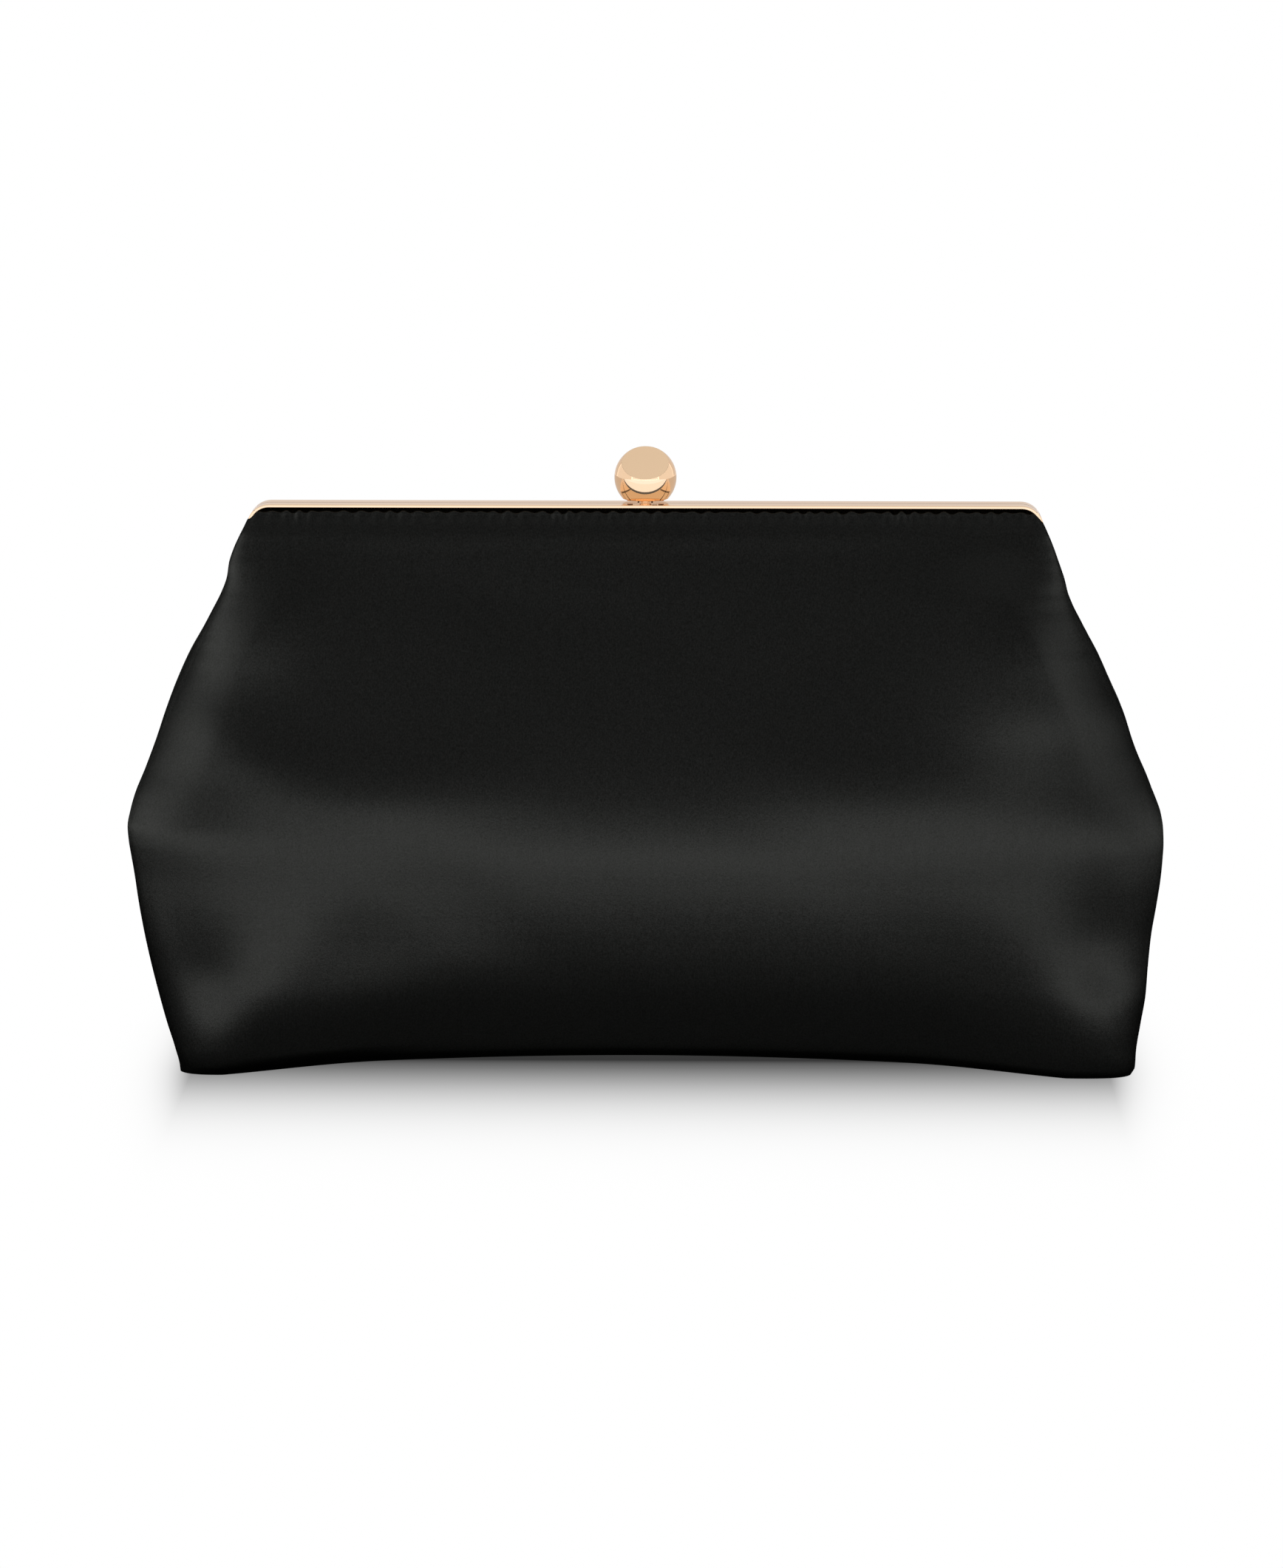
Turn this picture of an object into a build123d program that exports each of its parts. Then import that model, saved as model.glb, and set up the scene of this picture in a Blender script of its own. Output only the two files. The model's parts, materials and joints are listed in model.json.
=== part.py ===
"""Framed satin clutch purse: a soft pouch sewn into a two-part metal frame.

Millimetres. +X runs along the mouth, the front faces -Y and +Z is up. The origin is on the
surface that the purse stands on, under the middle of the mouth. The purse is modelled closed.

The two U-shaped frame halves meet at the parting plane Y = 0 and turn on rivets at their ends.
The satin pouch is sewn to a flange on each half. Below the rivets the pouch keeps its shape. Above
them its panels go with the halves, so a short strip of each panel between the two has to bend.
"""

from build123d import *
from math import cos, radians, sin, tan
import os

# ---------------------------------------------------------------- driving dimensions
FRAME_TOP = 142.0  # top face of the rims above the table
FRAME_HALF_WIDTH = 99.5  # half the frame's width at the shoulder, below the rounded corner
LEG_SPLAY = 20.0  # degrees that a frame leg leans outwards on its way down
HINGE_Z = 104.0  # height of the rivets

BAG_HALF_WIDTH = 131.0  # widest half width of the pouch
BAG_WIDEST_Z = 58.0
BASE_HALF_WIDTH = 119.0
BASE_HALF_DEPTH = 22.0
BASE_ARCH = 4.5  # how far the middle of the base rises off the table
BASE_FLAT_X = 92.0  # the base lies flat from here outwards
BELLY_HALF_DEPTH = 29.0  # thickest half depth of the pouch
BELLY_Z = 42.0
CHEST_HALF_DEPTH = 24.6  # half depth where the curved belly meets the straight upper slope
CHEST_Z = 76.0

SATIN = 0.8  # satin with its fused backing
STIFFENER = 0.7
LINING = 0.4
WALL = SATIN + STIFFENER + LINING

# ---------------------------------------------------------------- frame section and path
PARTING = 0.15  # half the gap between the closed halves
RIM_DEPTH = 4.5  # front-to-back width of one rim
RIM_THICK = 0.8
RIM_OUTER = PARTING + RIM_DEPTH
FLANGE_INNER = 1.6  # parting plane to the flange's inner face
FLANGE_THICK = 0.8
FLANGE_OUTER = FLANGE_INNER + FLANGE_THICK
FLANGE_HEIGHT = 8.0
RIM_EASE = 0.25  # rounding of the rim's outer edges

SHOULDER_RADIUS = 5.5
KNEE_RADIUS = 8.0
KNEE_Z = HINGE_Z + 9.0  # below this the leg runs straight down to its ear
SHOULDER_DROP = 4.0
LEG_RUN = FRAME_TOP - SHOULDER_DROP - KNEE_Z
KNEE_X = FRAME_HALF_WIDTH + LEG_RUN * tan(radians(LEG_SPLAY))
SHOULDER_X = KNEE_X - (FRAME_TOP - KNEE_Z) * tan(radians(LEG_SPLAY))
LEG_END_Z = HINGE_Z + 5.5  # the rim stops here, clear of the other half's ear
FLANGE_END_Z = HINGE_Z + 6.5

EAR_RADIUS = 4.0
EAR_THICK = 0.8
EAR_GAP = 0.2
EAR_TOP = HINGE_Z + 8.0
RIVET_RADIUS = 1.2
RIVET_CLEARANCE = 0.05
RIVET_HEAD_RADIUS = 2.4
RIVET_HEAD = 0.7
REAR_EAR_X = KNEE_X - RIM_THICK - EAR_THICK - 0.2  # inner face of the inner ear
FRONT_EAR_X = REAR_EAR_X + EAR_THICK + EAR_GAP + 0.2

STITCH_PITCH = 4.0
STITCH_HOLE_RADIUS = 0.55
STITCH_INSET = RIM_THICK + FLANGE_HEIGHT / 2  # rim's outer face to the row of holes
CLASP_CLEAR = 7.0  # half the stretch of flange with no stitches, at the clasp
THREAD_RADIUS = 0.22

# ---------------------------------------------------------------- clasp
BALL_RADIUS = 7.8
BALL_Y = 4.0  # over the rear rim, as its reflections of both rims show
BALL_Z = FRAME_TOP + 6.0
BALL_BASE_Z = FRAME_TOP + 0.6
FACET_LIFT = 52.0  # the facet's normal, in degrees above the horizontal, to the front
FACET_HALF_ANGLE = 48.0
PIVOT_Y = 5.8
PIVOT_Z = FRAME_TOP - 0.8
PIVOT_RADIUS = 0.6
PIVOT_CLEARANCE = 0.05
KNUCKLE_RADIUS = 1.05
LEVER_HALF = 1.5  # half the lever's width
NOTCH_HALF = 1.9  # half the width of the notch in the rear rim
LUG_INNER = 3.2  # inner face of the lugs that hold the pivot pin
LUG_OUTER = 4.6
SPRING_RADIUS = 0.82
SPRING_PITCH = 0.26
SPRING_WIRE = 0.1
STUD_RADIUS = 1.2
STUD_Y = 3.0
STUD_HEIGHT = 3.6
CATCH_THICK = 0.4
CATCH_RIVET_X = 3.5
CATCH_RIVET_Z = FRAME_TOP - 6.8
CATCH_RIVET_RADIUS = 0.6
WINDOW_HALF = 2.2

# ---------------------------------------------------------------- pouch
LOWER_TOP_Z = HINGE_Z - 3.0  # the lower panels end here
UPPER_BOTTOM_Z = HINGE_Z + 8.0  # the panels on the frame start here
UPPER_TOP_Z = FRAME_TOP - RIM_THICK - 0.1
GUSSET_TOP_Z = HINGE_Z - 1.0
BASE_CORNER_X = 108.0  # the base panel ends here and the gussets begin
POCKET_HALF_WIDTH = 60.0
POCKET_LOW_Z = 28.0
POCKET_TOP_Z = 88.0
BEYOND = 40.0  # how far cutting shapes run past the purse

os.makedirs("parts", exist_ok=True)


# ---------------------------------------------------------------- shared outlines
def frame_outline(inset):
    """The frame's outer line seen from the front, closed far below, drawn in by inset."""
    with BuildSketch() as sketch:
        with BuildLine():
            FilletPolyline(
                (-KNEE_X, HINGE_Z - BEYOND),
                (-KNEE_X, KNEE_Z),
                (-SHOULDER_X, FRAME_TOP),
                (SHOULDER_X, FRAME_TOP),
                (KNEE_X, KNEE_Z),
                (KNEE_X, HINGE_Z - BEYOND),
                radius=[KNEE_RADIUS, SHOULDER_RADIUS, SHOULDER_RADIUS, KNEE_RADIUS],
            )
            Line((KNEE_X, HINGE_Z - BEYOND), (-KNEE_X, HINGE_Z - BEYOND))
        make_face()
        if inset:
            offset(amount=-inset, kind=Kind.INTERSECTION)
    return sketch.sketch


def frame_band(outer, inner, low):
    """The strip of the frame's outline between two insets, cut off below a height."""
    with BuildSketch() as sketch:
        add(frame_outline(outer))
        add(frame_outline(inner), mode=Mode.SUBTRACT)
        with Locations((0, low - BEYOND)):
            Rectangle(4 * FRAME_HALF_WIDTH, 2 * BEYOND, mode=Mode.SUBTRACT)
    return sketch.sketch


def silhouette(inset):
    """The pouch seen from the front, with its arched base, drawn in by inset. It runs on
    upwards past the pouch, so that only the base and sides are walls."""
    top_x = BAG_HALF_WIDTH - (FRAME_TOP - BAG_WIDEST_Z) * tan(radians(LEG_SPLAY))
    with BuildSketch() as sketch:
        with BuildLine():
            ThreePointArc((-BASE_FLAT_X, 0), (0, BASE_ARCH), (BASE_FLAT_X, 0))
            for end in (-1, 1):
                Line((end * BASE_FLAT_X, 0), (end * BASE_HALF_WIDTH, 0))
                FilletPolyline(
                    (end * BASE_HALF_WIDTH, 0),
                    (end * (BAG_HALF_WIDTH + 1.0), BAG_WIDEST_Z),
                    (end * top_x, FRAME_TOP),
                    radius=14.0,
                )
            Line((top_x, FRAME_TOP), (-top_x, FRAME_TOP))
        make_face()
        if inset:
            offset(amount=-inset, kind=Kind.INTERSECTION)
    return sketch.sketch


def side_profile(inset):
    """The pouch seen from the end, drawn in by inset at front and back. It runs on past the
    base and the mouth."""
    base_y = BASE_HALF_DEPTH - inset
    belly_y = BELLY_HALF_DEPTH - inset
    chest_y = CHEST_HALF_DEPTH - inset
    mouth_y = FLANGE_OUTER + 0.1 + WALL - inset
    with BuildSketch() as sketch:
        for side in (-1, 1):
            with BuildLine():
                Polyline((0, -BEYOND), (side * (base_y - 9.0), -BEYOND), (side * base_y, 0))
                ThreePointArc(
                    (side * base_y, 0), (side * belly_y, BELLY_Z), (side * chest_y, CHEST_Z)
                )
                Polyline(
                    (side * chest_y, CHEST_Z),
                    (side * mouth_y, UPPER_TOP_Z),
                    (side * mouth_y, UPPER_TOP_Z + BEYOND),
                    (0, UPPER_TOP_Z + BEYOND),
                    (0, -BEYOND),
                )
            make_face()
    return sketch.sketch


SIDE_PLANE = Plane.YZ.offset(-BAG_HALF_WIDTH - BEYOND)
SIDE_RUN = 2 * (BAG_HALF_WIDTH + BEYOND)


def panel_layer(side, outer, inner, low, high, outline):
    """One layer of a front (side -1) or back (side 1) panel, between two depths in the wall."""
    with BuildPart() as layer:
        with BuildSketch(SIDE_PLANE):
            add(side_profile(outer))
            add(side_profile(inner), mode=Mode.SUBTRACT)
        extrude(amount=SIDE_RUN)
        with BuildSketch(Plane.XZ):
            add(outline)
        extrude(amount=BEYOND + 20, both=True, mode=Mode.INTERSECT)
        with Locations((0, side * BEYOND, (low + high) / 2)):
            Box(SIDE_RUN, 2 * BEYOND, high - low, mode=Mode.INTERSECT)
    return layer.part


def wrap_layer(outer, inner, profile_inset, low_x, high_x, top_z):
    """A layer that runs round the sides and base, between the front and back panels. Only
    the stretch between two X positions and below a height is kept."""
    with BuildPart() as layer:
        with BuildSketch(Plane.XZ):
            add(silhouette(outer))
            add(silhouette(inner), mode=Mode.SUBTRACT)
        extrude(amount=BEYOND + 20, both=True)
        with BuildSketch(SIDE_PLANE):
            add(side_profile(profile_inset))
        extrude(amount=SIDE_RUN, mode=Mode.INTERSECT)
        with Locations(((low_x + high_x) / 2, 0, top_z / 2 - 5)):
            Box(high_x - low_x, 4 * BEYOND, top_z + 10, mode=Mode.INTERSECT)
    return layer.part


def save(part, name):
    """Labels a finished sub-part and writes it to its own file."""
    part.label = name
    export_step(part, f"parts/{name}.step")


# ---------------------------------------------------------------- frame halves
def leg_points(first_z):
    """Where the sewing holes go along one leg: distance from the middle, and height."""
    slope = tan(radians(LEG_SPLAY))
    inset_x = STITCH_INSET / cos(radians(LEG_SPLAY))
    drop = STITCH_PITCH * cos(radians(LEG_SPLAY))
    count = int((first_z - KNEE_Z - 1.0) / drop) + 1
    heights = [first_z - i * drop for i in range(count)]
    return [(SHOULDER_X + (FRAME_TOP - z) * slope - inset_x, z) for z in heights]


def stitch_points():
    """Every sewing hole in one flange: the row under the bar, then the two legs."""
    columns = int((SHOULDER_X - STITCH_INSET - CLASP_CLEAR) / STITCH_PITCH) + 1
    bar = [CLASP_CLEAR + i * STITCH_PITCH for i in range(columns)]
    row_z = FRAME_TOP - STITCH_INSET
    row = [(side * x, row_z) for side in (-1, 1) for x in bar]
    legs = [(side * x, z) for side in (-1, 1) for x, z in leg_points(row_z - STITCH_PITCH)]
    return row, legs


def frame_half(side, ear_x):
    """Rim, sewing flange and the two hinge ears of one half. side is -1 in front, 1 behind."""
    row, legs = stitch_points()
    with BuildPart() as half:
        with BuildSketch(Plane.XZ.offset(-side * PARTING)):
            add(frame_band(0, RIM_THICK, LEG_END_Z))
        extrude(amount=-side * RIM_DEPTH)
        outer_edges = half.edges().filter_by(
            lambda edge: abs(edge.center().Y - side * RIM_OUTER) < 1e-3 and edge.length > 2
        )
        fillet(outer_edges, radius=RIM_EASE)
        with BuildSketch(Plane.XZ.offset(-side * FLANGE_INNER)):
            add(frame_band(RIM_THICK / 2, RIM_THICK + FLANGE_HEIGHT, FLANGE_END_Z))
            with Locations(*row, *legs):
                Circle(STITCH_HOLE_RADIUS, mode=Mode.SUBTRACT)
        extrude(amount=-side * FLANGE_THICK)
        for end in (-1, 1):
            with BuildSketch(Plane.YZ.offset(end * ear_x)):
                with Locations((0, HINGE_Z)):
                    Circle(EAR_RADIUS)
                with Locations((side * (PARTING + RIM_DEPTH / 2), (HINGE_Z + EAR_TOP) / 2)):
                    Rectangle(RIM_DEPTH, EAR_TOP - HINGE_Z)
                with Locations((0, HINGE_Z)):
                    Circle(RIVET_RADIUS + RIVET_CLEARANCE, mode=Mode.SUBTRACT)
            extrude(amount=end * EAR_THICK)
    return half.part


with BuildPart() as front_frame:
    add(frame_half(-1, FRONT_EAR_X))
    with Locations((0, -FLANGE_INNER, FRAME_TOP - 3.0)):  # window for the hook's toe
        Box(2 * WINDOW_HALF, 3 * FLANGE_THICK, 4.0, mode=Mode.SUBTRACT)
    with BuildSketch(Plane.XZ.offset(FLANGE_INNER - 1)):
        with Locations((-CATCH_RIVET_X, CATCH_RIVET_Z), (CATCH_RIVET_X, CATCH_RIVET_Z)):
            Circle(CATCH_RIVET_RADIUS + 0.03)
    extrude(amount=FLANGE_THICK + 2, mode=Mode.SUBTRACT)

with BuildPart() as rear_frame:
    add(frame_half(1, REAR_EAR_X))
    with Locations((0, RIM_DEPTH / 2, FRAME_TOP)):  # notch for the lever
        Box(2 * NOTCH_HALF, 2 * RIM_DEPTH, 2 * RIM_THICK, mode=Mode.SUBTRACT)
    for end in (-1, 1):  # lugs for the pivot pin
        with BuildSketch(Plane.YZ.offset(end * LUG_INNER)):
            with Locations((PIVOT_Y, PIVOT_Z)):
                Circle(KNUCKLE_RADIUS)
            with Locations(((RIM_OUTER - 0.5 + PIVOT_Y) / 2, FRAME_TOP - RIM_THICK / 2)):
                Rectangle(PIVOT_Y - RIM_OUTER + 0.5, RIM_THICK)
            with Locations((PIVOT_Y, PIVOT_Z)):
                Circle(PIVOT_RADIUS, mode=Mode.SUBTRACT)
        extrude(amount=end * (LUG_OUTER - LUG_INNER))

save(front_frame.part, "front_frame")
save(rear_frame.part, "rear_frame")

for end, name in ((-1, "hinge_rivet_left"), (1, "hinge_rivet_right")):
    with BuildPart() as rivet:
        inner_face = REAR_EAR_X - 0.1
        outer_face = FRONT_EAR_X + EAR_THICK + 0.3
        with BuildSketch(Plane.YZ.offset(end * (inner_face - RIVET_HEAD))):
            with Locations((0, HINGE_Z)):
                Circle(RIVET_RADIUS)
        extrude(amount=end * (outer_face - inner_face + 2 * RIVET_HEAD))
        for head_x in (inner_face - RIVET_HEAD, outer_face):
            with BuildSketch(Plane.YZ.offset(end * head_x)):
                with Locations((0, HINGE_Z)):
                    Circle(RIVET_HEAD_RADIUS)
            extrude(amount=end * RIVET_HEAD)
        head_rims = rivet.edges().filter_by(GeomType.CIRCLE).sort_by(Axis.X)
        fillet([head_rims[0], head_rims[-1]], radius=0.4)
    save(rivet.part, name)


# ---------------------------------------------------------------- sewing thread
for side, name in ((-1, "front_thread"), (1, "rear_thread")):
    with BuildPart() as thread:
        y = side * (FLANGE_INNER - THREAD_RADIUS - 0.02)
        for group in stitch_points():
            for end in (-1, 1):
                run = [point for point in group if point[0] * end > 0]
                for (x1, z1), (x2, z2) in zip(run[0::2], run[1::2]):
                    along = Vector(x2 - x1, 0, z2 - z1)
                    with BuildSketch(Plane(origin=(x1, y, z1), z_dir=along)):
                        Circle(THREAD_RADIUS)
                    extrude(amount=along.length)
    save(thread.part, name)

# ---------------------------------------------------------------- clasp
with BuildPart() as clasp_ball:
    with Locations((0, BALL_Y, BALL_Z)):
        Sphere(BALL_RADIUS)
    with Locations((0, BALL_Y, BALL_BASE_Z - BALL_RADIUS)):
        Box(4 * BALL_RADIUS, 4 * BALL_RADIUS, 2 * BALL_RADIUS, mode=Mode.SUBTRACT)
    facet_normal = Vector(0, -cos(radians(FACET_LIFT)), sin(radians(FACET_LIFT)))
    facet_centre = Vector(0, BALL_Y, BALL_Z) + facet_normal * (
        BALL_RADIUS * cos(radians(FACET_HALF_ANGLE))
    )
    split(bisect_by=Plane(origin=facet_centre, z_dir=facet_normal), keep=Keep.BOTTOM)
    fillet(clasp_ball.edges().filter_by(GeomType.CIRCLE), radius=0.35)
    with BuildSketch(Plane.XY.offset(BALL_BASE_Z)):
        with Locations((0, STUD_Y)):
            Circle(STUD_RADIUS + 0.03)
    extrude(amount=STUD_HEIGHT + 0.2, mode=Mode.SUBTRACT)
save(clasp_ball.part, "clasp_ball")

with BuildPart() as clasp_lever:
    plate_bottom = FRAME_TOP - 0.75
    plate_top = FRAME_TOP + 0.1
    with BuildSketch(Plane.YZ.offset(-LEVER_HALF)):
        with BuildLine():
            Polyline(  # side view: plate at the top, shank down between the rims, toe forward
                (PIVOT_Y, plate_top),
                (0.25, plate_top),
                (0.25, FRAME_TOP - 2.3),
                (-1.35, FRAME_TOP - 2.3),
                (-1.35, FRAME_TOP - 3.0),
                (1.05, FRAME_TOP - 3.0),
                (1.05, plate_bottom),
                (PIVOT_Y, plate_bottom),
                close=True,
            )
        make_face()
        with Locations((PIVOT_Y, PIVOT_Z)):
            Circle(KNUCKLE_RADIUS)
            Circle(PIVOT_RADIUS + PIVOT_CLEARANCE, mode=Mode.SUBTRACT)
    extrude(amount=2 * LEVER_HALF)
    with BuildSketch(Plane.XY.offset(plate_top - 0.2)):
        with Locations((0, STUD_Y)):
            Circle(STUD_RADIUS)
    extrude(amount=STUD_HEIGHT)
save(clasp_lever.part, "clasp_lever")

with BuildPart() as clasp_pivot_pin:
    with BuildSketch(Plane.YZ.offset(-LUG_OUTER - 0.3)):
        with Locations((PIVOT_Y, PIVOT_Z)):
            Circle(PIVOT_RADIUS - 0.01)
    extrude(amount=2 * (LUG_OUTER + 0.3))
    chamfer(clasp_pivot_pin.edges().filter_by(GeomType.CIRCLE), length=0.15)
save(clasp_pivot_pin.part, "clasp_pivot_pin")

with BuildPart() as clasp_spring:  # coil on the pin, between the lever and one lug
    with BuildLine() as coil:
        Helix(
            pitch=SPRING_PITCH,
            height=LUG_INNER - LEVER_HALF - 2 * SPRING_WIRE - 0.3,
            radius=SPRING_RADIUS,
            center=(LEVER_HALF + SPRING_WIRE + 0.15, PIVOT_Y, PIVOT_Z),
            direction=(1, 0, 0),
        )
    with BuildSketch(Plane(origin=coil.line @ 0, z_dir=coil.line % 0)):
        Circle(SPRING_WIRE)
    sweep()
save(clasp_spring.part, "clasp_spring")

with BuildPart() as clasp_catch:
    with BuildSketch(Plane.XZ.offset(FLANGE_INNER - CATCH_THICK)):
        with Locations((0, CATCH_RIVET_Z)):
            Rectangle(11.0, 3.0)
        with Locations((-CATCH_RIVET_X, CATCH_RIVET_Z), (CATCH_RIVET_X, CATCH_RIVET_Z)):
            Circle(CATCH_RIVET_RADIUS + 0.03, mode=Mode.SUBTRACT)
    extrude(amount=CATCH_THICK)
    with BuildSketch(Plane.YZ.offset(-LEVER_HALF)):
        with BuildLine():
            Polyline(  # side view of the sprung tongue that the toe drops in front of
                (-FLANGE_INNER, FRAME_TOP - 5.9),
                (-0.3, FRAME_TOP - 5.4),
                (-0.3, FRAME_TOP - 3.15),
                (-0.7, FRAME_TOP - 3.15),
                (-0.7, FRAME_TOP - 5.0),
                (-FLANGE_INNER, FRAME_TOP - 5.35),
                close=True,
            )
        make_face()
    extrude(amount=2 * LEVER_HALF)
save(clasp_catch.part, "clasp_catch")

with BuildPart() as catch_rivets:
    rivet_plane = Plane.XZ.offset(FLANGE_INNER - CATCH_THICK - 0.45)
    for x in (-CATCH_RIVET_X, CATCH_RIVET_X):
        with BuildSketch(rivet_plane):
            with Locations((x, CATCH_RIVET_Z)):
                Circle(CATCH_RIVET_RADIUS * 1.8)
        extrude(amount=0.4)
        with BuildSketch(rivet_plane):
            with Locations((x, CATCH_RIVET_Z)):
                Circle(CATCH_RIVET_RADIUS)
        extrude(amount=FLANGE_THICK + CATCH_THICK + 0.45)
save(catch_rivets.part, "catch_rivets")

# ---------------------------------------------------------------- satin, stiffener and lining
pouch_face = silhouette(0)
pouch_inside = silhouette(WALL)
frame_face = frame_outline(0)
frame_inside = frame_outline(RIM_THICK + 0.1)
card_inner = SATIN + STIFFENER

for side, word in ((-1, "front"), (1, "back")):
    save(panel_layer(side, 0, SATIN, -5, LOWER_TOP_Z, pouch_face), f"{word}_panel")
    save(
        panel_layer(side, SATIN, card_inner, -5, LOWER_TOP_Z - 4, pouch_inside),
        f"{word}_stiffener",
    )
    save(panel_layer(side, card_inner, WALL, -5, LOWER_TOP_Z, pouch_inside), f"{word}_lining")
    save(
        panel_layer(side, 0, SATIN, LOWER_TOP_Z + 0.1, UPPER_BOTTOM_Z - 0.1, frame_face),
        f"{word}_panel_bend",
    )
    save(
        panel_layer(side, 0, card_inner, UPPER_BOTTOM_Z, UPPER_TOP_Z, frame_inside),
        f"{word}_panel_top",
    )
    save(
        panel_layer(side, card_inner, WALL, UPPER_BOTTOM_Z, UPPER_TOP_Z, frame_inside),
        f"{word}_lining_top",
    )

LAYERS = (
    ("panel", 0, SATIN, SATIN),
    ("card", SATIN, card_inner, WALL),
    ("lining", card_inner, WALL, WALL),
)
for word, outer, inner, profile_inset in LAYERS:
    base = wrap_layer(outer, inner, profile_inset, -BASE_CORNER_X, BASE_CORNER_X, 20)
    save(base, f"base_{word}")

with BuildSketch() as pocket_face:
    with Locations((0, (POCKET_LOW_Z + POCKET_TOP_Z) / 2)):
        Rectangle(2 * POCKET_HALF_WIDTH, POCKET_TOP_Z - POCKET_LOW_Z)
save(
    panel_layer(1, WALL + 0.1, WALL + 0.1 + LINING, -5, LOWER_TOP_Z, pocket_face.sketch),
    "slip_pocket",
)

for side, word in ((-1, "left"), (1, "right")):
    near, far = sorted((side * BASE_CORNER_X, side * (BAG_HALF_WIDTH + 20)))
    save(wrap_layer(0, SATIN, SATIN, near, far, GUSSET_TOP_Z), f"{word}_gusset")
    save(
        wrap_layer(card_inner, WALL, WALL, near, far, GUSSET_TOP_Z),
        f"{word}_gusset_lining",
    )
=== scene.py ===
"""Black satin clutch on a rose-gold frame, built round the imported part. Lengths are in
millimetres until a mesh is made; the scene itself is in metres."""

import bpy
import json
import math
import numpy as np
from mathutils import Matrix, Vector

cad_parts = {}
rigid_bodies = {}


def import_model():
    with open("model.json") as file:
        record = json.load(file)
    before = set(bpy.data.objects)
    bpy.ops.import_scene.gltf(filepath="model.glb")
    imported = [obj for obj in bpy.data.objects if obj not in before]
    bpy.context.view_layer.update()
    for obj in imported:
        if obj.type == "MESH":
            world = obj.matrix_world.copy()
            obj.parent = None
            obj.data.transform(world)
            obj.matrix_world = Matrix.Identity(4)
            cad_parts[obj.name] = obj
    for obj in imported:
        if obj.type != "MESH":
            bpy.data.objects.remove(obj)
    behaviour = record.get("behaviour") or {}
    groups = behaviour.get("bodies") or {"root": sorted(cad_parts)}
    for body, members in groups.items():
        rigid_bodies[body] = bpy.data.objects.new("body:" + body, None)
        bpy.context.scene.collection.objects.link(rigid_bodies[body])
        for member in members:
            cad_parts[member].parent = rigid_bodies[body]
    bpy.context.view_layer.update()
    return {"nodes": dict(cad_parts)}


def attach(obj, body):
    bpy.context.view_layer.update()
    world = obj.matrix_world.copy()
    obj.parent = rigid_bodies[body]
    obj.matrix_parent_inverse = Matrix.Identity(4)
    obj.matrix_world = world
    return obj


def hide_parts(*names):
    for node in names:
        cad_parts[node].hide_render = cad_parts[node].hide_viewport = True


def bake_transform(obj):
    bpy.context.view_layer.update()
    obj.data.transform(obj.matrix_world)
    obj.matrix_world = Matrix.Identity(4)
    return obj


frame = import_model()

MM = 0.001
FRAME_TOP = 142.0   # height of the rims' top face
PANEL_TOP = 141.1   # height of the panels' folded edge, just under it
HINGE_Z = 104.0     # height of the rivets
SATIN, STIFFENER, LINING, BOARD = 0.8, 0.6, 0.4, 1.2  # thickness of the layers
BAR_PITCH = 3.75    # from one gather to the next along the bar
LEG_PITCH = 4.1     # and down the legs
ARCH_HEIGHT = 4.2   # how far the middle of the base's edge stands off the table
ARCH_HALF = 106.0   # and how far to each side the arch reaches
ARCH_FADE = 42.0    # height at which it has faded out
COLUMNS = 260       # columns in each half of a panel
SIDEWAYS = 0.35     # the share of a fold's height by which it also pushes sideways
FRONT_SEED, BACK_SEED = 11, 23

# ------------------------------------------------------------- tables that give the pouch its shape
# height, half width at the left, half width at the right
SILHOUETTE = np.array([
    (0.0, 117.0, 122.6), (2.0, 117.2, 123.6), (6.0, 118.2, 123.8), (12.9, 120.3, 124.8),
    (20.5, 122.3, 126.0), (28.0, 124.1, 126.5), (35.6, 125.7, 127.2), (43.0, 127.0, 128.4),
    (50.5, 128.1, 129.5), (55.0, 128.9, 129.9), (58.5, 129.5, 130.1), (62.0, 129.8, 130.0),
    (66.0, 129.1, 129.4), (70.0, 128.0, 128.0), (76.2, 125.5, 125.3), (83.3, 122.9, 122.5),
    (90.1, 120.7, 120.3), (97.1, 118.1, 117.2), (104.4, 114.8, 113.9), (112.1, 110.4, 109.5),
    (116.0, 108.3, 107.4), (120.1, 106.2, 105.7), (123.9, 104.8, 104.8), (127.6, 104.2, 103.6),
    (131.4, 102.9, 102.3), (134.2, 101.6, 101.2), (135.6, 100.9, 100.6), (137.2, 100.1, 99.9),
    (138.6, 99.5, 99.3), (140.0, 98.5, 98.4), (PANEL_TOP, 95.8, 95.8),
])
# height, half depth in the middle
DEPTH = np.array([
    (0.0, 18.3), (1.0, 19.8), (3.0, 22.0), (6.0, 23.95), (10.0, 25.73), (14.0, 27.09),
    (18.0, 28.07), (22.0, 28.71), (26.0, 29.08), (30.0, 29.31), (34.0, 29.43), (38.3, 29.48),
    (42.0, 29.44), (46.0, 29.31), (50.0, 29.09), (54.0, 28.80), (58.0, 28.37), (62.0, 27.76),
    (66.0, 27.00), (70.0, 26.10), (74.0, 25.06), (78.0, 23.95), (84.0, 22.20), (90.0, 20.4),
    (104.0, 16.0), (118.0, 11.65), (130.0, 8.1), (135.6, 6.6), (137.0, 6.05), (139.5, 4.9),
    (140.15, 4.7), (140.5, 4.3), (PANEL_TOP, 2.7),
])
CORNER_PULL = 6.0  # how far the lowest corners are pulled out past the middle, front and back
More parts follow.
